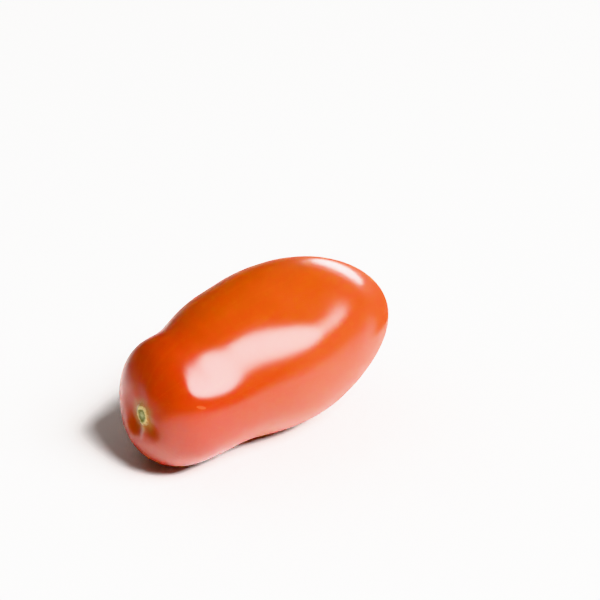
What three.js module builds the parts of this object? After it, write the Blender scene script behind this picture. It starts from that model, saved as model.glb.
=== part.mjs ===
// A ripe plum tomato, long and waisted, lying on its side as it rests on a table.
// Millimetres, +Z up, +X from the stem end to the blossom end, origin under the middle of its box.
//
// The fruit grew as one piece, so it is one closed skin: a radius that changes along a bent spine,
// with the corky stem scar and the blossom point raised and sunk in the same surface.

import * as THREE from 'three';

// The body along its spine. A place on it is u, from -1 at the stem to +1 at the blossom end.
const LENGTH = 85.4;
const STEM_RADIUS = 19.36;
const BELLY_RADIUS = 22.69;
const SWELL = { from: -0.93, to: 0.66 };
const WAIST = { at: -0.6, depth: 1.39, width: 0.2 };
const STEM_SQUARENESS = 6.7;
const BLOSSOM_SQUARENESS = 1.87;

// The spine bows, and both ends bend off it. Offsets go across (+Y) and up (+Z).
const BOW = { across: 1.53, up: 1.8 };
const STEM_BEND = { across: 1.24, up: 3.11, from: -0.45 };
const BLOSSOM_BEND = { across: -2.07, up: -1.46, from: 0.3 };

// The section is faintly three-sided near the stem, from the three chambers inside.
const LOBES = { count: 3, share: 0.035, at: 56, until: 0.3 };

// Local hollows (negative) and swells: height, place u, angle round the fruit, size along and round.
const DENTS = [
  // Under the waist, and on its far side.
  { height: -1.25, u: -0.34, angle: 232, along: 8, round: 10 },
  { height: -0.6, u: -0.44, angle: 50, along: 7, round: 12 },
  { height: 0.3, u: -0.3, angle: 50, along: 8, round: 12 },
  // The near side of the shoulder and the waist.
  { height: -1.95, u: -0.91, angle: 182, along: 11.5, round: 10.5 },
  { height: -1.3, u: -0.68, angle: 131, along: 9, round: 8.5 },
  { height: -0.9, u: -0.42, angle: 146, along: 13, round: 9 },
  { height: -0.9, u: -0.43, angle: 187, along: 11.5, round: 11.5 },
  // The near side of the belly, full in the middle and flattened on top.
  { height: 0.7, u: -0.05, angle: 149, along: 13, round: 11 },
  { height: 0.8, u: -0.12, angle: 173, along: 12.5, round: 10.5 },
  { height: -2.25, u: 0.21, angle: 117, along: 12, round: 11 },
  { height: 0.45, u: 0.58, angle: 138, along: 13, round: 10.5 },
];

// The stem scar, by distance from its centre: a dimple, a corky ring, a sunk floor with a core.
const DIMPLE = { depth: 0.4, width: 4.5 };
const CORK_RING = { radius: 2.15, height: 0.3, width: 0.5, uneven: 0.25 };
const SCAR_FLOOR = { depth: 0.3, radius: 1.2, edge: 0.9 };
const SCAR_CORE = { height: 0.25, width: 0.7 };

// The scar stands a little slanted in a hollow that is deepest below it, with a short rib down it.
const SLANT = { slope: 0.2, width: 7 };
const HOLLOW = { depth: 1.2, from: 0.8, deepest: 3.2, to: 9.2, lowest: 268, roundShare: 0.15 };
const RIB = { share: 0.5, width: 1.3 };

// Faint folds fan out over the shoulder.
const FOLDS = { count: 5, height: 0.14, at: 40, radius: 6.5, width: 2.6 };

// The blossom end closes in a low point with a tiny dry mark where the flower fell off.
const POINT = { height: 0.4, width: 3.2 };
const DRY_MARK = { depth: 0.15, width: 0.7 };

// How it lies: blossom end up by TILT degrees, with the skin pressed flat where its weight rests.
const TILT = 4.44;
const PRESSED_FLAT = 0.3;

// The mesh: steps round the fruit and along it, closer together at both ends by POLE_DENSITY.
const STEPS_ROUND = 64;
const STEPS_ALONG = 64;
const POLE_DENSITY = 0.07;

const HALF = LENGTH / 2;

const radians = (degrees) => (degrees * Math.PI) / 180;
const clamp01 = (t) => Math.min(Math.max(t, 0), 1);

// 0 below 0, 1 above 1, and a smooth S between them.
function smooth(t) {
  const s = clamp01(t);
  return s * s * s * (s * (6 * s - 15) + 10);
}

// A bell of height 1 at 0 that has fallen to 1/e at the given width.
const bell = (distance, width) => Math.exp(-((distance / width) ** 2));

// The signed angle from b to a, between -PI and PI.
const angleBetween = (a, b) => Math.atan2(Math.sin(a - b), Math.cos(a - b));

function spineAt(u) {
  const stem = clamp01((STEM_BEND.from - u) / (1 + STEM_BEND.from)) ** 2;
  const blossom = clamp01((u - BLOSSOM_BEND.from) / (1 - BLOSSOM_BEND.from)) ** 2;
  const middle = 1 - u * u;
  return new THREE.Vector3(
    HALF * u,
    BOW.across * middle + STEM_BEND.across * stem + BLOSSOM_BEND.across * blossom,
    BOW.up * middle + STEM_BEND.up * stem + BLOSSOM_BEND.up * blossom,
  );
}

// The spine's direction at u, and the two directions across it that a ring lies in.
function ringFrame(u) {
  const step = 0.001;
  const along = spineAt(u + step).sub(spineAt(u - step)).normalize();
  const across = new THREE.Vector3(0, 1, 0).addScaledVector(along, -along.y).normalize();
  const up = new THREE.Vector3().crossVectors(along, across);
  return { along, across, up };
}

function radiusAt(u, angle) {
  const squareness = u < 0 ? STEM_SQUARENESS : BLOSSOM_SQUARENESS;
  const cap = Math.sqrt(Math.max(1 - Math.abs(u) ** squareness, 0));
  const swell = smooth((u - SWELL.from) / (SWELL.to - SWELL.from));
  const body = STEM_RADIUS + (BELLY_RADIUS - STEM_RADIUS) * swell
    - WAIST.depth * bell(u - WAIST.at, WAIST.width);
  const lobed = LOBES.share * clamp01((LOBES.until - u) / (LOBES.until + 1))
    * Math.cos(LOBES.count * (angle - radians(LOBES.at)));
  let dents = 0;
  for (const dent of DENTS) {
    const round = STEM_RADIUS * angleBetween(angle, radians(dent.angle));
    dents += dent.height * bell((u - dent.u) * HALF, dent.along) * bell(round, dent.round);
  }
  return cap * (body * (1 + lobed) + dents);
}

// Depth of the hollow round the scar at a distance and an angle from its centre, less the rib in it.
function hollowDepth(distance, angle) {
  const turn = angleBetween(angle, radians(HOLLOW.lowest));
  const below = HOLLOW.roundShare + (1 - HOLLOW.roundShare) * (0.5 + 0.5 * Math.cos(turn)) ** 1.5;
  const sinking = smooth((distance - HOLLOW.from) / (HOLLOW.deepest - HOLLOW.from));
  const rising = smooth((distance - HOLLOW.deepest) / (HOLLOW.to - HOLLOW.deepest));
  const rib = RIB.share * smooth(2 * Math.cos(turn)) * bell(distance * Math.sin(turn), RIB.width);
  return HOLLOW.depth * below * sinking * (1 - rising) * (1 - rib);
}

// Height of the skin round the scar above the plain body.
function scarRelief(distance, angle) {
  const sway = Math.cos(5 * angle + 1) + 0.8 * Math.cos(3 * angle + 2.1);
  const ring = CORK_RING.height * (1 + CORK_RING.uneven * sway)
    * bell(distance - CORK_RING.radius, CORK_RING.width);
  const floor = SCAR_FLOOR.depth * (1 - smooth((distance - SCAR_FLOOR.radius) / SCAR_FLOOR.edge));
  const core = SCAR_CORE.height * bell(distance, SCAR_CORE.width);
  const dimple = DIMPLE.depth * bell(distance, DIMPLE.width);
  const slant = SLANT.slope * distance * Math.cos(angle) * bell(distance, SLANT.width);
  const folds = FOLDS.height * Math.cos(FOLDS.count * (angle - radians(FOLDS.at)))
    * bell(distance - FOLDS.radius, FOLDS.width);
  return ring + core + folds - floor - dimple - slant - hollowDepth(distance, angle);
}

const pointRelief = (distance) =>
  POINT.height * bell(distance, POINT.width) - DRY_MARK.depth * bell(distance, DRY_MARK.width);

// One point of the skin, before the fruit is laid on the table.
function skinPoint(u, angle) {
  const { along, across, up } = ringFrame(u);
  const radius = radiusAt(u, angle);
  const outward = u < 0 ? -scarRelief(radius, angle) : pointRelief(radius);
  return spineAt(u)
    .addScaledVector(across, radius * Math.cos(angle))
    .addScaledVector(up, radius * Math.sin(angle))
    .addScaledVector(along, outward);
}

// u for a row, from 0 at the stem to 1 at the blossom end, with the rows packed at both ends.
function rowPlace(row) {
  const q = row / STEPS_ALONG;
  const eased = POLE_DENSITY * q + q / 2 - Math.sin(2 * Math.PI * q) / (4 * Math.PI);
  return -Math.cos((Math.PI * eased) / (POLE_DENSITY + 0.5));
}

// A closed net of triangles: one point at each end and a ring of points for every row between.
function skinGeometry() {
  const points = [skinPoint(-1, 0)];
  for (let row = 1; row < STEPS_ALONG; row += 1) {
    for (let column = 0; column < STEPS_ROUND; column += 1) {
      points.push(skinPoint(rowPlace(row), (2 * Math.PI * column) / STEPS_ROUND));
    }
  }
  points.push(skinPoint(1, 0));

  const last = points.length - 1;
  const index = [];
  const at = (row, column) => 1 + (row - 1) * STEPS_ROUND + (column % STEPS_ROUND);
  for (let column = 0; column < STEPS_ROUND; column += 1) {
    index.push(0, at(1, column + 1), at(1, column));
    for (let row = 1; row < STEPS_ALONG - 1; row += 1) {
      index.push(at(row, column), at(row, column + 1), at(row + 1, column + 1));
      index.push(at(row, column), at(row + 1, column + 1), at(row + 1, column));
    }
    index.push(last, at(STEPS_ALONG - 1, column), at(STEPS_ALONG - 1, column + 1));
  }

  const geometry = new THREE.BufferGeometry();
  geometry.setFromPoints(points);
  geometry.setIndex(index);
  return geometry;
}

// Turns the fruit to how it lies, centres it over the origin and presses its underside flat.
function layOnTable(geometry) {
  geometry.rotateY(-radians(TILT));
  geometry.computeBoundingBox();
  const { min, max } = geometry.boundingBox;
  geometry.translate(-(min.x + max.x) / 2, -(min.y + max.y) / 2, -min.z - PRESSED_FLAT);
  const position = geometry.getAttribute('position');
  for (let i = 0; i < position.count; i += 1) {
    position.setZ(i, Math.max(position.getZ(i), 0));
  }
  geometry.computeVertexNormals();
  return geometry;
}

function makeTomato() {
  const skin = new THREE.MeshStandardMaterial({ color: 0xd23a10, roughness: 0.2, metalness: 0 });
  const tomato = new THREE.Mesh(layOnTable(skinGeometry()), skin);
  tomato.name = 'tomato';
  return tomato;
}

const model = new THREE.Group();
model.add(makeTomato());

export default model;
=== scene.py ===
# %% [markdown]
# A ripe plum tomato lies on a white table: long, a little waisted near the stem end, with the round
# scar where the stalk came off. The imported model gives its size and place. A sculpted mesh could
# carry the same form, but a formula keeps every bend and hollow as a number that can be changed, so
# the skin here is one surface worked out from two parameters.

import math

import bpy
import numpy as np
from mathutils import Matrix


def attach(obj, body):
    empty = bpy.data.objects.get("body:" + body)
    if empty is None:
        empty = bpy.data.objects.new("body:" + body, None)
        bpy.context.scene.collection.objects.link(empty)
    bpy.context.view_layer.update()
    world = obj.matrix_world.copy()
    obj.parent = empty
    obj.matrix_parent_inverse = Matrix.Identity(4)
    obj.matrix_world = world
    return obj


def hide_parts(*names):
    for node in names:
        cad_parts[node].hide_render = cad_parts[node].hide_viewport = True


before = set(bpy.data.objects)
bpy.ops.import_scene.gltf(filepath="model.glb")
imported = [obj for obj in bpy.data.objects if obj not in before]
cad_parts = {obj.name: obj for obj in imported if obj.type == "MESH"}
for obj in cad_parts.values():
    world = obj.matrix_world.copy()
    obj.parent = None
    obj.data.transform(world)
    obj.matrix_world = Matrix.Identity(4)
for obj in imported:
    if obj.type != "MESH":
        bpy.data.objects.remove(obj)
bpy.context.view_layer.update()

# %% [markdown]
# All shapes are worked out in millimetres, as the fruit would be measured with a ruler, and turned
# into Blender's metres only when a mesh is filled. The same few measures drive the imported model, so
# the fine skin falls on it without fitting. A place along the fruit is u, from -1 at the stem to +1
# at the blossom end, and a place round it is an angle in degrees, 0 at +Y and 90 on top.

# %% The fruit's measures
MM = 0.001

LENGTH = 85.4
STEM_RADIUS = 19.36
BELLY_RADIUS = 22.69
SWELL = dict(start=-0.93, end=0.66)
WAIST = dict(at=-0.60, depth=1.39, width=0.20)
STEM_SQUARENESS = 6.7
BLOSSOM_SQUARENESS = 1.87

BOW = dict(across=1.53, up=1.80)
STEM_BEND = dict(across=1.24, up=3.11, start=-0.45)
BLOSSOM_BEND = dict(across=-2.07, up=-1.46, start=0.3)
LOBES = dict(count=3, share=0.035, at=56, until=0.3)
DENTS = [
    # Under the waist, and on its far side.
    dict(height=-1.25, u=-0.34, angle=232, along=8, round=10),
    dict(height=-0.6, u=-0.44, angle=50, along=7, round=12),
    dict(height=0.3, u=-0.3, angle=50, along=8, round=12),
    # The near side of the shoulder and the waist.
    dict(height=-1.95, u=-0.91, angle=182, along=11.5, round=10.5),
    dict(height=-1.3, u=-0.68, angle=131, along=9, round=8.5),
    dict(height=-0.9, u=-0.42, angle=146, along=13, round=9),
    dict(height=-0.9, u=-0.43, angle=187, along=11.5, round=11.5),
    # The near side of the belly, full in the middle and flattened on top.
    dict(height=0.7, u=-0.05, angle=149, along=13, round=11),
    dict(height=0.8, u=-0.12, angle=173, along=12.5, round=10.5),
    dict(height=-2.25, u=0.21, angle=117, along=12, round=11),
    dict(height=0.45, u=0.58, angle=138, along=13, round=10.5),
]

TILT = 4.44
PRESSED_FLAT = 0.3
HALF = LENGTH / 2
print("spine is", LENGTH, "mm long, with", len(DENTS), "hollows and swells round it")

# %% [markdown]
# Bells and S-curves are the only shapes that the relief needs. A bell makes a swell or a hollow that
# fades out on its own, and an S-curve leads from one level to another with no crease.

# %% Bells, S-curves and angles


def smooth(t):
    """0 below 0, 1 above 1, and between them 6 t^5 - 15 t^4 + 10 t^3."""
    s = np.clip(t, 0, 1)
    return s * s * s * (s * (6 * s - 15) + 10)


def bell(distance, width):
    """exp(-(distance / width)^2): 1 in the middle, 1/e at the width."""
    return np.exp(-((distance / width) ** 2))


def angle_between(a, b):
    """The signed turn from b to a, brought between -pi and pi."""
    return np.arctan2(np.sin(a - b), np.cos(a - b))


# %% [markdown]
# A real fruit is never straight. A lathe would give a spindle, so the skin is swept instead: rings
# are carried along a spine that bows gently and turns up at both ends, and each ring stands square
# to the spine.

# %% The spine and its rings


def spine_at(u):
    """x is half the length times u. y and z are a bow, 1 - u^2, plus a squared bend at each end."""
    stem = np.clip((STEM_BEND["start"] - u) / (1 + STEM_BEND["start"]), 0, 1) ** 2
    blossom = np.clip((u - BLOSSOM_BEND["start"]) / (1 - BLOSSOM_BEND["start"]), 0, 1) ** 2
    middle = 1 - u * u
    y = BOW["across"] * middle + STEM_BEND["across"] * stem + BLOSSOM_BEND["across"] * blossom
    z = BOW["up"] * middle + STEM_BEND["up"] * stem + BLOSSOM_BEND["up"] * blossom
    return np.stack([HALF * u, y, z], -1)


def ring_frames(u):
    """The unit tangent of the spine, +Y made square to it, and the cross product of the two."""
    step = 0.001
    along = spine_at(u + step) - spine_at(u - step)
    along /= np.linalg.norm(along, axis=-1, keepdims=True)
    across = np.array([0.0, 1.0, 0.0]) - along * along[..., 1:2]
    across /= np.linalg.norm(across, axis=-1, keepdims=True)
    return along, across, np.cross(along, across)


# %% [markdown]
# The rings' radius makes the silhouette: a blunt, squared cap at the stem, a swelling belly, an
# egg-shaped blossom end and a shallow waist. The three seed chambers inside push the section very
# slightly three-sided near the stem, and local hollows and swells break the symmetry. They could be
# pressed in with a sculpting brush, but a bell has a height, a place and two widths to correct.

# %% The radius of the body


def radius_at(u, angle):
    """Cap sqrt(1 - |u|^p) times the body radius with its lobes, plus the bells of the dents."""
    squareness = np.where(u < 0, STEM_SQUARENESS, BLOSSOM_SQUARENESS)
    cap = np.sqrt(np.clip(1 - np.abs(u) ** squareness, 0, None))
    swell = smooth((u - SWELL["start"]) / (SWELL["end"] - SWELL["start"]))
    body = STEM_RADIUS + (BELLY_RADIUS - STEM_RADIUS) * swell
    body = body - WAIST["depth"] * bell(u - WAIST["at"], WAIST["width"])
    fading = np.clip((LOBES["until"] - u) / (LOBES["until"] + 1), 0, 1)
    lobed = LOBES["share"] * fading * np.cos(LOBES["count"] * (angle - math.radians(LOBES["at"])))
    dents = 0
    for dent in DENTS:
        turned = STEM_RADIUS * angle_between(angle, math.radians(dent["angle"]))
        along = (u - dent["u"]) * HALF
        dents = dents + dent["height"] * bell(along, dent["along"]) * bell(turned, dent["round"])
    return cap * (body * (1 + lobed) + dents)


# %% [markdown]
# The stalk left a corky ring round a sunken green floor, in the middle of a shallow dimple. The ring
# stands a little slanted over a hollow that is deepest below it, and a short rib runs down the
# hollow. A bump map could fake these, but they catch the light and break the skin's reflections, so
# they are real relief, raised along the spine.

# %% The stem scar and the blossom point
DIMPLE = dict(depth=0.4, width=4.5)
CORK_RING = dict(radius=2.15, height=0.3, width=0.5, uneven=0.25)
# Size, number round the ring and phase of the waves that make the ring uneven.
RING_WAVES = [(1.0, 5, 1.0), (0.8, 3, 2.1)]
SCAR_FLOOR = dict(depth=0.3, radius=1.2, edge=0.9)
SCAR_CORE = dict(height=0.25, width=0.7)
HOLLOW = dict(depth=1.2, start=0.8, deepest=3.2, end=9.2, lowest=268, round_share=0.15)
RIB = dict(share=0.5, width=1.3)
SLANT = dict(slope=0.2, width=7)
FOLDS = dict(count=5, height=0.14, at=40, radius=6.5, width=2.6)
POINT = dict(height=0.4, width=3.2)
DRY_MARK = dict(depth=0.15, width=0.7)


def hollow_relief(distance, angle):
    """Depth times a share largest straight below, an S-curve down, one back up, and 1 less the rib."""
    turn = angle_between(angle, math.radians(HOLLOW["lowest"]))
    below = HOLLOW["round_share"] + (1 - HOLLOW["round_share"]) * (0.5 + 0.5 * np.cos(turn)) ** 1.5
    sinking = smooth((distance - HOLLOW["start"]) / (HOLLOW["deepest"] - HOLLOW["start"]))
    rising = smooth((distance - HOLLOW["deepest"]) / (HOLLOW["end"] - HOLLOW["deepest"]))
    rib = RIB["share"] * smooth(2 * np.cos(turn)) * bell(distance * np.sin(turn), RIB["width"])
    return HOLLOW["depth"] * below * sinking * (1 - rising) * (1 - rib)


def scar_relief(distance, angle):
    """Ring, core and folds rise, dimple, floor and hollow sink, and the whole is a little slanted."""
    sway = sum(size * np.cos(count * angle + phase) for size, count, phase in RING_WAVES)
    ring = CORK_RING["height"] * (1 + CORK_RING["uneven"] * sway)
    ring = ring * bell(distance - CORK_RING["radius"], CORK_RING["width"])
    floor = SCAR_FLOOR["depth"] * (1 - smooth((distance - SCAR_FLOOR["radius"]) / SCAR_FLOOR["edge"]))
    core = SCAR_CORE["height"] * bell(distance, SCAR_CORE["width"])
    dimple = DIMPLE["depth"] * bell(distance, DIMPLE["width"])
    slant = SLANT["slope"] * distance * np.cos(angle) * bell(distance, SLANT["width"])
    folds = FOLDS["height"] * np.cos(FOLDS["count"] * (angle - math.radians(FOLDS["at"])))
    folds = folds * bell(distance - FOLDS["radius"], FOLDS["width"])
    return ring + core + folds - floor - dimple - slant - hollow_relief(distance, angle)


def point_relief(distance):
    """A wide low bell for the blossom point, less a narrow one for the dry mark on it."""
    point = POINT["height"] * bell(distance, POINT["width"])
    return point - DRY_MARK["depth"] * bell(distance, DRY_MARK["width"])


# %% [markdown]
# Cork is rough where the skin is glassy. A texture and a Displace modifier could roughen it, but
# ripples of many directions and lengths do the same in one line of maths. Each has its own seeded
# phase, and they add up to an even crumble that is the same on every run.

# %% The crumble of the cork
CRUMBLE = dict(height=0.07, waves=24, shortest=0.35, longest=1.1, seed=7)
CORKY = dict(ring_width=0.9, core_share=0.5, core_width=1.6)


def crumble(side, rise):
    """The sum of many seeded sine waves across the scar over the square root of their number."""
    draw = np.random.default_rng(CRUMBLE["seed"])
    total = np.zeros_like(side)
    for _ in range(CRUMBLE["waves"]):
        heading = draw.uniform(0, 2 * math.pi)
        length = draw.uniform(CRUMBLE["shortest"], CRUMBLE["longest"])
        phase = draw.uniform(0, 2 * math.pi)
        across = side * math.cos(heading) + rise * math.sin(heading)
        total += np.sin(2 * math.pi * across / length + phase)
    return total / math.sqrt(CRUMBLE["waves"])


# %% [markdown]
# The grid is packed at both ends, where the scar and the point need small faces, and open over the
# long plain flanks. An even grid would need many more rows to draw the same scar.

# %% The rows of the grid, and how the fruit lies
COLUMNS = 320
ROWS = 300
POLE_DENSITY = 0.035


def row_places(rows):
    """-cos of an eased angle whose steps are small at both ends: density q + q/2 - sin(2 pi q)/4 pi."""
    q = np.arange(rows + 1) / rows
    eased = POLE_DENSITY * q + q / 2 - np.sin(2 * math.pi * q) / (4 * math.pi)
    return -np.cos(math.pi * eased / (POLE_DENSITY + 0.5))


def lay(points):
    """Turns the points about +Y, so that the blossom end rises by the tilt."""
    t = math.radians(TILT)
    x, y, z = np.moveaxis(points, -1, 0)
    return np.stack([x * math.cos(t) - z * math.sin(t), y, x * math.sin(t) + z * math.cos(t)], -1)


# %% [markdown]
# Now the whole grid is worked out at once. The body's rings come first, then the relief pushes each
# point along the spine, and last the fruit is turned to how it lies and set on the table, where its
# weight presses it a little flat.

# %% Points of the skin
u = row_places(ROWS)[:, None]
angle = (2 * math.pi * np.arange(COLUMNS) / COLUMNS)[None, :]
radius = radius_at(u, angle)
along, across, up = (vector[:, 0][:, None] for vector in ring_frames(u))
ring_direction = np.cos(angle)[..., None] * across + np.sin(angle)[..., None] * up
plain = spine_at(u[:, 0])[:, None] + radius[..., None] * ring_direction

side = radius * np.cos(angle)
rise = radius * np.sin(angle)
corky = bell(radius - CORK_RING["radius"], CORKY["ring_width"])
corky = corky + CORKY["core_share"] * bell(radius, CORKY["core_width"])
stem_height = scar_relief(radius, angle) + CRUMBLE["height"] * corky * crumble(side, rise)
outward = np.where(u < 0, -stem_height, point_relief(radius))
laid = lay(plain + outward[..., None] * along)

lowest, highest = laid.min((0, 1)), laid.max((0, 1))
middle = (lowest + highest) / 2
moved = np.array([-middle[0], -middle[1], -lowest[2] - PRESSED_FLAT])
skin_points = laid + moved
skin_points[..., 2] = np.maximum(skin_points[..., 2], 0)
print("skin is", np.round(np.ptp(skin_points, (0, 1)), 2), "mm")

# %% [markdown]
# Quads join each ring of points to the next, and a fan of triangles closes each end in one shared
# point, so the mesh is one watertight skin. The arrays go straight into the mesh, because a loop
# over a hundred thousand vertices would be slow.

# %% Fill the mesh


def grid_faces(rows, columns):
    """Corner lists of the quads between the rings and of the fans of triangles at both ends."""
    here = np.arange(columns)
    there = (here + 1) % columns
    start = 1 + columns * np.arange(rows - 1)[:, None]
    ring, following = start[:-1], start[1:]
    quads = np.stack([ring + here, ring + there, following + there, following + here], -1)
    last = 1 + columns * (rows - 1)
    first_fan = np.stack([np.zeros_like(here), 1 + there, 1 + here], -1)
    last_fan = np.stack([np.full_like(here, last), start[-1] + here, start[-1] + there], -1)
    return quads.reshape(-1, 4), np.concatenate([first_fan, last_fan])


def per_point(grid):
    """The grid's values in vertex order: one for the stem end, the rings, one for the blossom end."""
    return np.concatenate([grid[0, :1], grid[1:-1].reshape(-1, *grid.shape[2:]), grid[-1, :1]])


def skin_mesh(name, points):
    """A smooth closed mesh from a grid of points whose first and last rows are single places."""
    rows, columns = points.shape[0] - 1, points.shape[1]
    vertices = per_point(points) * MM
    quads, fans = grid_faces(rows, columns)
    corners = np.concatenate([quads.ravel(), fans.ravel()])
    sizes = np.concatenate([np.full(len(quads), 4), np.full(len(fans), 3)])
    mesh = bpy.data.meshes.new(name)
    mesh.vertices.add(len(vertices))
    mesh.vertices.foreach_set("co", vertices.ravel())
    mesh.loops.add(len(corners))
    mesh.loops.foreach_set("vertex_index", corners)
    mesh.polygons.add(len(sizes))
    mesh.polygons.foreach_set("loop_start", np.cumsum(sizes) - sizes)
    mesh.polygons.foreach_set("use_smooth", np.ones(len(sizes), bool))
    mesh.update(calc_edges=True)
    mesh.validate()
    return mesh


tomato_mesh = skin_mesh("tomato_skin", skin_points)
tomato = bpy.data.objects.new("tomato_skin", tomato_mesh)
bpy.context.scene.collection.objects.link(tomato)
print("tomato_skin has", len(tomato_mesh.polygons), "faces")

# %% [markdown]
# The skin's own coordinates travel with the mesh as attributes. "scar" tells where a point lies
# beside and above the scar, with a third part that keeps the far half out of reach. "round" tells
# where it lies round and along the fruit, and "ends" how far it is from the scar and the blossom
# point. A UV map would need a seam somewhere, and these have none.

# %% The skin's own coordinates


def add_attribute(mesh, name, grid):
    """Stores one vector a vertex under a name that the material can read."""
    made = mesh.attributes.new(name, "FLOAT_VECTOR", "POINT")
    made.data.foreach_set("vector", per_point(grid).astype(np.float32).ravel())


stem_distance = np.linalg.norm(plain - plain[0, 0], axis=-1)
blossom_distance = np.linalg.norm(plain - plain[-1, 0], axis=-1)
full_turn = np.broadcast_to(angle, radius.shape)
full_u = np.broadcast_to(u, radius.shape)
out_of_reach = np.where(full_u < 0, 0.0, LENGTH)
add_attribute(tomato_mesh, "scar", np.stack([side, rise, out_of_reach], -1))
add_attribute(tomato_mesh, "round", np.stack([np.cos(full_turn), np.sin(full_turn), full_u], -1))
both_ends = [stem_distance, blossom_distance, np.zeros_like(radius)]
add_attribute(tomato_mesh, "ends", np.stack(both_ends, -1))
print("farthest from the scar:", round(float(stem_distance.max()), 1), "mm")

# %% [markdown]
# Nodes could be placed and wired one by one. Small helpers do it here, so that the material reads as
# a recipe. Maths on values, masks that fade between two limits and colour mixes come first.

# %% Helpers for shader nodes


def add_node(tree, kind, **settings):
    """A new node of the kind, with its properties set by name."""
    made = tree.nodes.new(kind)
    for key, value in settings.items():
        setattr(made, key, value)
    return made


def plug(tree, value, socket):
    """Links an output to a socket, or writes a plain value into it."""
    if isinstance(value, bpy.types.NodeSocket):
        tree.links.new(value, socket)
    else:
        socket.default_value = value


def maths(tree, operation, a, b):
    """One Math node."""
    made = add_node(tree, "ShaderNodeMath", operation=operation)
    plug(tree, a, made.inputs[0])
    plug(tree, b, made.inputs[1])
    return made.outputs[0]


def fade(tree, value, start, end, low=0.0, high=1.0):
    """A smooth step of the value from low at start to high at end."""
    made = add_node(tree, "ShaderNodeMapRange", interpolation_type="SMOOTHSTEP")
    for socket, given in zip(made.inputs, (value, start, end, low, high)):
        plug(tree, given, socket)
    return made.outputs[0]


def mix_colour(tree, factor, a, b):
    """One colour Mix node."""
    made = add_node(tree, "ShaderNodeMix", data_type="RGBA")
    plug(tree, factor, made.inputs[0])
    plug(tree, a, made.inputs[6])
    plug(tree, b, made.inputs[7])
    return made.outputs[2]


# %% [markdown]
# A pattern starts from where a point is. The next helpers read the skin's own coordinates, stretch
# them, measure how far a place is, and turn them into noise.

# %% Helpers for places and noise


def attribute(tree, name):
    """Reads one of the skin's own attributes as a vector, and its three parts."""
    read = add_node(tree, "ShaderNodeAttribute", attribute_name=name)
    parts = add_node(tree, "ShaderNodeSeparateXYZ")
    tree.links.new(read.outputs["Vector"], parts.inputs[0])
    return read.outputs["Vector"], parts.outputs


def stretched(tree, vector, scale):
    """The vector with each of its parts multiplied."""
    made = add_node(tree, "ShaderNodeVectorMath", operation="MULTIPLY")
    plug(tree, vector, made.inputs[0])
    made.inputs[1].default_value = scale
    return made.outputs[0]


def distance_to(tree, vector, point):
    """How far the vector is from a point."""
    made = add_node(tree, "ShaderNodeVectorMath", operation="DISTANCE")
    plug(tree, vector, made.inputs[0])
    made.inputs[1].default_value = point
    return made.outputs["Value"]


def streak(tree, vector, ends, start, end, unit=1.0):
    """An ellipse round two places: 1 while the distances to them add up to start, 0 from end on."""
    first, second = (distance_to(tree, vector, np.array(at) * unit) for at in ends)
    return fade(tree, maths(tree, "ADD", first, second), start * unit, end * unit, 1.0, 0.0)


def noise(tree, vector, scale, detail, roughness=0.5):
    """One Noise Texture, as a value round 0.5."""
    made = add_node(tree, "ShaderNodeTexNoise")
    plug(tree, vector, made.inputs["Vector"])
    plug(tree, scale, made.inputs["Scale"])
    plug(tree, detail, made.inputs["Detail"])
    plug(tree, roughness, made.inputs["Roughness"])
    return made.outputs["Fac"]


# %% [markdown]
# The flesh glows through a thin clear skin. Ripe plum tomatoes are orange-red on the flanks, with
# faint streaks that run from end to end, soft clouds and pale pinprick specks. The shoulder at the
# stem end is a deeper, darker red, partly the fruit's own tone and partly painted shade on the side
# away from the key light. The streaks need coordinates that are long along the fruit and short round
# it, so they read the skin's own attribute, while clouds and specks read Object coordinates.

# %% Colours of the skin
FLANK = (0.195, 0.027, 0.0008, 1)
# The shoulder red is partly the fruit's own deeper tone and partly painted shade on the stem end.
SHOULDER_RED_AND_SHADE = (0.165, 0.013, 0.0006, 1)
GOLD = (0.24, 0.045, 0.002, 1)
RIPENING_AND_SHADE = dict(start=-1.0, end=0.1)
CLOUDS = dict(scale=42.0, detail=2.0)
CLOUD_SHIFT = 0.5
STREAKS = dict(scale=2.2, detail=3.0)
STREAK_STRETCH = (9.0, 9.0, 0.8)
STREAK_BAND = dict(start=0.5, end=0.85, low=0.0, high=0.12)
SPECK_SCALE = 900.0
SPECK_BAND = dict(start=0.08, end=0.2, low=0.16, high=0.0)


def flesh_colour(tree, place, round_fruit, u_value):
    """Shoulder red with painted shade to flank orange by u plus a share of clouds, then gold streaks and
    specks.
    """
    clouds = maths(tree, "SUBTRACT", noise(tree, place, **CLOUDS), 0.5)
    ripeness_and_shade = maths(tree, "ADD", u_value, maths(tree, "MULTIPLY", clouds, CLOUD_SHIFT))
    colour = mix_colour(tree, fade(tree, ripeness_and_shade, **RIPENING_AND_SHADE), SHOULDER_RED_AND_SHADE, FLANK)
    streaks = noise(tree, stretched(tree, round_fruit, STREAK_STRETCH), **STREAKS)
    colour = mix_colour(tree, fade(tree, streaks, **STREAK_BAND), colour, GOLD)
    specks = add_node(tree, "ShaderNodeTexVoronoi")
    plug(tree, place, specks.inputs["Vector"])
    specks.inputs["Scale"].default_value = SPECK_SCALE
    dots = fade(tree, specks.outputs["Distance"], **SPECK_BAND)
    return mix_colour(tree, dots, colour, GOLD)


# %% [markdown]
# The scar is painted in rings by distance from its centre, with noise to fray each border: an
# olive-brown halo that fades into the red, a cream ring of cork, a sage green floor and a pale
# core, which is partly the dry centre's own colour and partly a painted highlight on the raised
# core. The same kind of ring paints the dry mark at the far end. An image could hold them, but
# these stay sharp however near the camera comes.

# %% Colours of the scar and of the dry mark
OLIVE = (0.14, 0.065, 0.013, 1)
CREAM = (0.23, 0.18, 0.08, 1)
SAGE = (0.085, 0.09, 0.032, 1)
PALE_SAGE_AND_HIGHLIGHT = (0.18, 0.17, 0.085, 1)
DRY_BROWN = (0.05, 0.022, 0.008, 1)
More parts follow.
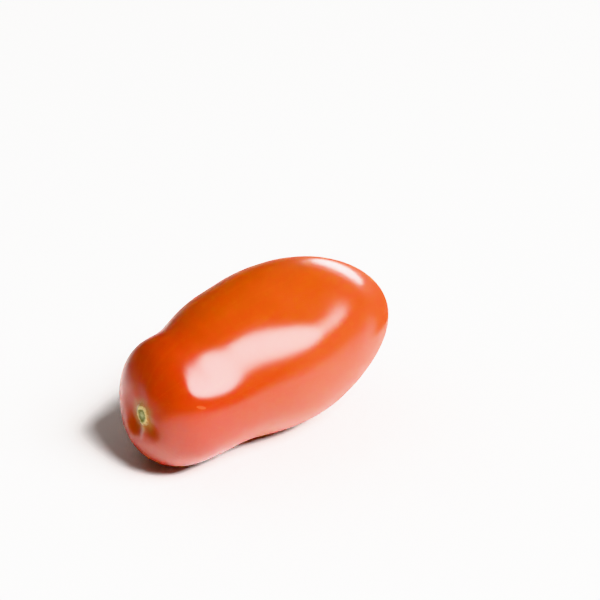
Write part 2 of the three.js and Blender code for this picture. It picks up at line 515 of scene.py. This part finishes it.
# Each paint has its strength up to the start, in millimetres, and none from the end on.
SCAR_PAINTS = [
    dict(colour=OLIVE, start=2.6, end=5.6, strength=0.85),
    dict(colour=CREAM, start=2.3, end=2.8, strength=1.0),
    dict(colour=SAGE, start=1.5, end=1.9, strength=1.0),
    # The pale core is partly the dry centre's own colour and partly a painted highlight.
    dict(colour=PALE_SAGE_AND_HIGHLIGHT, start=0.4, end=1.1, strength=0.9),
]
DRY_PAINT = dict(colour=DRY_BROWN, start=0.5, end=1.3, strength=0.9)
FRAY = dict(scale=900.0, detail=4.0, roughness=0.6)
FRAY_REACH = 1.6


def painted(tree, below, distance, colour, start, end, strength):
    """The colour laid over what is below it, by a smooth step down of its strength with distance."""
    return mix_colour(tree, fade(tree, distance, start, end, strength, 0.0), below, colour)


def scar_colour(tree, skin, place, from_stem, from_blossom):
    """The scar's paints in turn by the frayed distance from the stem, then the dry mark's."""
    fray = maths(tree, "SUBTRACT", noise(tree, place, **FRAY), 0.5)
    frayed = maths(tree, "ADD", from_stem, maths(tree, "MULTIPLY", fray, FRAY_REACH))
    colour = skin
    for paint in SCAR_PAINTS:
        colour = painted(tree, colour, frayed, **paint)
    return painted(tree, colour, from_blossom, **DRY_PAINT)


# %% [markdown]
# Two brown patches of painted shade lie below the scar, one on each side of the rib, and a short
# painted glint lies golden on the shoulder. Each is a place and a fade round it. An ellipse is
# drawn as pins and a thread would draw it, by the sum of two distances.

# %% Painted shade below the scar, and a painted glint on the shoulder
# Painted shade: two dark brown patches below the scar, one on each side of the rib.
SHADE_BROWN = (0.115, 0.014, 0.0005, 1)
SHADE_PATCHES = [(4.2, -5.0, 0), (-4.2, -3.2, 0)]
SHADE_PATCH_BAND = dict(start=0.3, end=4.6, low=1.0, high=0.0)
SHADE_PATCH_STRENGTH = 0.7
# Painted highlight: a short golden glint on the near shoulder, an ellipse round two places.
GLINT_GOLD = (0.36, 0.09, 0.008, 1)
GLINT = dict(ends=[(-36.3, -13.7, 24.4), (-34.3, -14.9, 23.7)], start=2.4, end=2.7)
GLINT_STRENGTH = 0.4


def shade_patch_mask(tree, side_and_rise):
    """1 in the middle of each patch of painted shade, and 0 outside, by the nearer of the two distances.
    """
    first, second = (distance_to(tree, side_and_rise, at) for at in SHADE_PATCHES)
    return fade(tree, maths(tree, "MINIMUM", first, second), **SHADE_PATCH_BAND)


def with_painted_shade_and_glint(tree, skin, place, shade_patches):
    """The skin colour with a share of brown painted shade in the two patches and of a painted glint."""
    skin = mix_colour(tree, maths(tree, "MULTIPLY", shade_patches, SHADE_PATCH_STRENGTH), skin, SHADE_BROWN)
    # The painted golden glint on the shoulder.
    glint = maths(tree, "MULTIPLY", streak(tree, place, unit=MM, **GLINT), GLINT_STRENGTH)
    return mix_colour(tree, glint, skin, GLINT_GOLD)


# %% [markdown]
# Wax makes the skin glassy, and the wax is not even. It is thin round the scar, the shine is also
# turned down in the patches of painted shade, and the wax lies thicker on the rib, which gleams. Layer
# Weight tells how far the skin turns away. A real skin mirrors less there than clear glass does,
# because its wax is finely rough, so the strength of its reflections falls toward the edges. Cork has
# no wax and is plainly rough.

# %% Gloss and relief of the skin
SMEAR = dict(scale=60.0, detail=2.0)
SMEAR_ROUGHNESS = dict(start=0.3, end=0.7, low=0.19, high=0.24)
CORK_ROUGHNESS = dict(start=2.0, end=3.2, low=0.4, high=0.0)
# The shine is turned down in the patches of painted shade as well.
SHADE_PATCH_SHINE = dict(start=0.0, end=1.0, low=1.0, high=0.08)
SHINE_ROUND_SCAR = dict(start=3.0, end=12.0, low=0.2, high=0.5)
SHINE_AT_EDGE = dict(start=14.0, end=30.0, low=0.4, high=0.03)
TURNING_AWAY = dict(start=0.2, end=0.9, low=1.1)
RIB_GLEAM = dict(ends=[(0, -3.2, 0), (0.3, -7.2, 0)], start=4.0, end=5.0)
GLEAM_STRENGTH = 0.25
RIPPLE = dict(scale=160.0, detail=2.0)
GRAIN = dict(scale=2600.0, detail=2.0)
GRAIN_SHARE = 0.05
BUMP_STRENGTH = 0.15
BUMP_HEIGHT = 0.12


def skin_roughness(tree, place, from_stem):
    """A low roughness that drifts with the smears, plus a high one that ends past the cork ring."""
    smears = fade(tree, noise(tree, place, **SMEAR), **SMEAR_ROUGHNESS)
    return maths(tree, "ADD", smears, fade(tree, from_stem, **CORK_ROUGHNESS))


def skin_shine(tree, shade_patches, side_and_rise, from_stem):
    """Painted shade's low shine times that round the scar and by turning away, plus the rib's gleam."""
    facing = add_node(tree, "ShaderNodeLayerWeight").outputs["Facing"]
    at_edge = fade(tree, from_stem, **SHINE_AT_EDGE)
    round_scar = fade(tree, from_stem, **SHINE_ROUND_SCAR)
    shine = maths(tree, "MULTIPLY", fade(tree, shade_patches, **SHADE_PATCH_SHINE), round_scar)
    shine = maths(tree, "MULTIPLY", shine, fade(tree, facing, high=at_edge, **TURNING_AWAY))
    gleam = maths(tree, "MULTIPLY", streak(tree, side_and_rise, **RIB_GLEAM), GLEAM_STRENGTH)
    return maths(tree, "ADD", shine, gleam)


def skin_bump(tree, place):
    """A normal tipped by a slow ripple plus a small share of fine grain."""
    grain = maths(tree, "MULTIPLY", noise(tree, place, **GRAIN), GRAIN_SHARE)
    bump = add_node(tree, "ShaderNodeBump")
    bump.inputs["Strength"].default_value = BUMP_STRENGTH
    bump.inputs["Distance"].default_value = BUMP_HEIGHT * MM
    plug(tree, maths(tree, "ADD", noise(tree, place, **RIPPLE), grain), bump.inputs["Height"])
    return bump.outputs[0]


# %% [markdown]
# One Principled shader does the whole skin, because flesh and wax are both its own layers. The
# subsurface light is what makes it look wet and full: red goes deepest into the flesh, so the
# shadows on it stay warm. The dry scar has hardly any.

# %% The skin material
INDEX_OF_REFRACTION = 1.47
FLESH_DEPTH = 10.0
FLESH_REACH = (1.0, 0.12, 0.04)
FLESH_ROUND_SCAR = dict(start=2.4, end=3.4, low=0.1, high=1.0)


def make_skin_material():
    """Feeds colour, roughness, shine, subsurface weight and bump to one Principled shader."""
    material = bpy.data.materials.new("ripe_tomato_skin")
    material.use_nodes = True
    tree = material.node_tree
    shader = tree.nodes["Principled BSDF"]
    place = add_node(tree, "ShaderNodeTexCoord").outputs["Object"]
    round_fruit, round_parts = attribute(tree, "round")
    side_and_rise, _ = attribute(tree, "scar")
    _, (from_stem, from_blossom, _) = attribute(tree, "ends")
    # The two patches of painted shade below the scar.
    shade_patches = shade_patch_mask(tree, side_and_rise)

    skin = flesh_colour(tree, place, round_fruit, round_parts[2])
    # Painted shade below the scar, and a painted golden glint on the shoulder.
    skin = with_painted_shade_and_glint(tree, skin, place, shade_patches)
    skin = scar_colour(tree, skin, place, from_stem, from_blossom)
    shine = skin_shine(tree, shade_patches, side_and_rise, from_stem)
    plug(tree, skin, shader.inputs["Base Color"])
    plug(tree, skin_roughness(tree, place, from_stem), shader.inputs["Roughness"])
    plug(tree, shine, shader.inputs["Specular IOR Level"])
    plug(tree, skin_bump(tree, place), shader.inputs["Normal"])
    plug(tree, fade(tree, from_stem, **FLESH_ROUND_SCAR), shader.inputs["Subsurface Weight"])
    shader.inputs["IOR"].default_value = INDEX_OF_REFRACTION
    shader.inputs["Subsurface Scale"].default_value = FLESH_DEPTH * MM
    shader.inputs["Subsurface Radius"].default_value = FLESH_REACH
    print(material.name, "has", len(tree.nodes), "nodes")
    return material


tomato_mesh.materials.append(make_skin_material())
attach(tomato, "root")
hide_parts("tomato")

# %% [markdown]
# The table is a plain white sheet that runs out of view on every side. It is bright enough to wash
# out to pure white, and its glow is what turns the underside of the glossy skin a hazy pink. A
# studio sheet is lit near the object and falls off behind it. Light Path tells the material when
# it is seen in a reflection, and only there does the sheet grow dim away from the fruit.

# %% The table
# The sheet is measured in metres, because it is so much larger than the fruit.
TABLE_HALF = 3.0
WHITE = (0.86, 0.86, 0.86, 1)
DIM = (0.30, 0.30, 0.30, 1)
DIMMING = dict(start=0.04, end=0.30)


def make_table():
    """A flat square, white mixed with grey by distance from its middle where a reflection sees it."""
    h = TABLE_HALF
    corners = [(-h, -h, 0), (h, -h, 0), (h, h, 0), (-h, h, 0)]
    mesh = bpy.data.meshes.new("table")
    mesh.from_pydata(corners, [], [(0, 1, 2, 3)])
    material = bpy.data.materials.new("white_sheet")
    material.use_nodes = True
    tree = material.node_tree
    shader = tree.nodes["Principled BSDF"]
    place = add_node(tree, "ShaderNodeTexCoord").outputs["Object"]
    far = fade(tree, distance_to(tree, place, (0, 0, 0)), **DIMMING)
    reflected = add_node(tree, "ShaderNodeLightPath").outputs["Is Glossy Ray"]
    dimmed = mix_colour(tree, maths(tree, "MULTIPLY", far, reflected), WHITE, DIM)
    plug(tree, dimmed, shader.inputs["Base Color"])
    shader.inputs["Roughness"].default_value = 0.9
    shader.inputs["Specular IOR Level"].default_value = 0.0
    mesh.materials.append(material)
    table = bpy.data.objects.new("table", mesh)
    bpy.context.scene.collection.objects.link(table)
    print("table is", 2 * h, "m wide")


make_table()

# %% [markdown]
# A glossy skin takes its tints from what stands round it. A glowing card past the blossom end
# warms that end, as a photographer's gold card would. Only reflections can see it, so it leaves the
# table white.

# %% The warm card
CARD = dict(x=78, y=(-25, 60), height=45)
CARD_GLOW = (1.0, 0.35, 0.20, 1)


def make_card():
    """An upright rectangle across the fruit's length, with an Emission shader and no shadow."""
    x, (near, far), top = CARD["x"], CARD["y"], CARD["height"]
    corners = np.array([(x, near, 0), (x, far, 0), (x, far, top), (x, near, top)]) * MM
    mesh = bpy.data.meshes.new("card")
    mesh.from_pydata(corners.tolist(), [], [(0, 1, 2, 3)])
    material = bpy.data.materials.new("warm_glow")
    material.use_nodes = True
    tree = material.node_tree
    tree.nodes.clear()
    glow = add_node(tree, "ShaderNodeEmission")
    glow.inputs["Color"].default_value = CARD_GLOW
    tree.links.new(glow.outputs[0], add_node(tree, "ShaderNodeOutputMaterial").inputs[0])
    mesh.materials.append(material)
    card = bpy.data.objects.new("card", mesh)
    card.visible_camera = card.visible_diffuse = card.visible_shadow = False
    bpy.context.scene.collection.objects.link(card)
    print("card is", far - near, "mm wide and", top, "mm high")


make_card()

# %% [markdown]
# The camera looks down on the stem end from a little above. It could be dragged into place by eye,
# but here it follows from facts that can be corrected one at a time: the way it looks, how far off
# it is, how many pixels a millimetre takes, and where the fruit's middle falls in the picture.

# %% The camera
PICTURE = 600
SENSOR = 36.0
VIEW_AZIMUTH = math.radians(45.5)
VIEW_ELEVATION = math.radians(26.0)
CAMERA_DISTANCE = 750.0
PIXELS_PER_MM = 3.8
MIDDLE_AT = (263.3, 361.5)

right = np.array([math.cos(VIEW_AZIMUTH), -math.sin(VIEW_AZIMUTH), 0])
away = np.array([math.sin(VIEW_AZIMUTH), math.cos(VIEW_AZIMUTH), 0])
overhead = np.array([0, 0, 1.0])
view_up = away * math.sin(VIEW_ELEVATION) + overhead * math.cos(VIEW_ELEVATION)
back = -away * math.cos(VIEW_ELEVATION) + overhead * math.sin(VIEW_ELEVATION)


def make_camera():
    """The lens that gives the picture its scale, set back from the point that fills its centre."""
    offset_right = (PICTURE / 2 - MIDDLE_AT[0]) / PIXELS_PER_MM
    offset_up = (MIDDLE_AT[1] - PICTURE / 2) / PIXELS_PER_MM
    target = moved + offset_right * right + offset_up * view_up
    data = bpy.data.cameras.new("camera")
    data.sensor_width = SENSOR
    data.lens = SENSOR * PIXELS_PER_MM * CAMERA_DISTANCE / PICTURE
    data.clip_end = 20
    camera = bpy.data.objects.new("camera", data)
    rotation = np.eye(4)
    rotation[:3, 0], rotation[:3, 1], rotation[:3, 2] = right, view_up, back
    rotation[:3, 3] = (target + CAMERA_DISTANCE * back) * MM
    camera.matrix_world = Matrix(rotation)
    bpy.context.scene.collection.objects.link(camera)
    bpy.context.scene.camera = camera
    print("lens", round(data.lens, 1), "mm")


make_camera()

# %% [markdown]
# Studio light is built from soft boxes, and here each one has a single job. One that only
# reflections see draws the long bright stripe along the flank, and another behind draws the rim.
# The key lights the flesh from nearly the stripe's direction and casts the shadow. A weak box
# overhead softens that shadow, and two more brighten the fruit alone, from the front left and from
# behind. One box could do several of these jobs, but then none could be set by itself.

# %% Lights
BOX_DISTANCE = 1.5
SOFT_BOXES = [
    dict(name="window_box", azimuth=-22, elevation=46.5, roll=-20, half_angles=(31, 16.5),
         radiance=32.0, seen_by="reflections"),
    dict(name="key_box", azimuth=-37, elevation=46.5, roll=-18, half_angles=(22, 13),
         radiance=54.0, seen_by="flesh and table"),
    dict(name="back_box", azimuth=68, elevation=7, roll=0, half_angles=(15.5, 15),
         radiance=43.0, seen_by="reflections"),
    dict(name="sky_box", azimuth=0, elevation=85, roll=0, half_angles=(45, 45),
         radiance=0.33, seen_by="flesh and table"),
    dict(name="fill_box", azimuth=-105, elevation=14, roll=0, half_angles=(28, 14),
         radiance=9.5, seen_by="flesh alone"),
    dict(name="rear_fill_box", azimuth=105, elevation=12, roll=0, half_angles=(32, 12),
         radiance=8.0, seen_by="flesh alone"),
]
tomato_only = bpy.data.collections.new("tomato_only")
tomato_only.objects.link(tomato)


def soft_box(name, azimuth, elevation, roll, half_angles, radiance, seen_by):
    """
    An elliptical area light that faces the fruit. Azimuth runs from the camera's right to away.
    Its power is pi times its area times its radiance, and its half sizes are the distance times
    the tangents of the half angles. Light linking keeps the fills off the table.
    """
    a, e, r = math.radians(azimuth), math.radians(elevation), math.radians(roll)
    toward = math.cos(e) * (math.cos(a) * right + math.sin(a) * away) + math.sin(e) * overhead
    level = math.cos(a) * away - math.sin(a) * right
    upright = np.cross(toward, level)
    width, height = (2 * BOX_DISTANCE * math.tan(math.radians(half)) for half in half_angles)
    data = bpy.data.lights.new(name, "AREA")
    data.shape = "ELLIPSE"
    data.size, data.size_y = width, height
    data.energy = radiance * math.pi * (math.pi / 4 * width * height)
    light = bpy.data.objects.new(name, data)
    matrix = np.eye(4)
    matrix[:3, 0] = level * math.cos(r) + upright * math.sin(r)
    matrix[:3, 1] = upright * math.cos(r) - level * math.sin(r)
    matrix[:3, 2] = toward
    matrix[:3, 3] = toward * BOX_DISTANCE
    light.matrix_world = Matrix(matrix)
    light.visible_diffuse = seen_by != "reflections"
    light.visible_glossy = seen_by == "reflections"
    if seen_by == "flesh alone":
        light.light_linking.receiver_collection = tomato_only
    bpy.context.scene.collection.objects.link(light)
    print(name, "gives", round(data.energy, 1), "watts, for", seen_by)


for box in SOFT_BOXES:
    soft_box(**box)

# %% [markdown]
# The room is nearly dark, which keeps the red between the highlights deep. Only a warm band near the
# horizon glows, and it fades upward. A plain grey world would veil the whole skin.

# %% The room
ROOM_COLOUR = (1, 0.86, 0.72, 1)
HORIZON_GLOW = dict(start=-0.05, end=0.22, low=0.9, high=0.12)


def make_room():
    """A world whose strength steps down smoothly with the height of the direction looked in."""
    world = bpy.data.worlds.new("dim_room")
    world.use_nodes = True
    tree = world.node_tree
    parts = add_node(tree, "ShaderNodeSeparateXYZ")
    plug(tree, add_node(tree, "ShaderNodeTexCoord").outputs["Generated"], parts.inputs[0])
    background = tree.nodes["Background"]
    background.inputs["Color"].default_value = ROOM_COLOUR
    plug(tree, fade(tree, parts.outputs["Z"], **HORIZON_GLOW), background.inputs["Strength"])
    bpy.context.scene.world = world
    bpy.context.scene.view_settings.view_transform = "Khronos PBR Neutral"
    print("world is", world.name)


make_room()
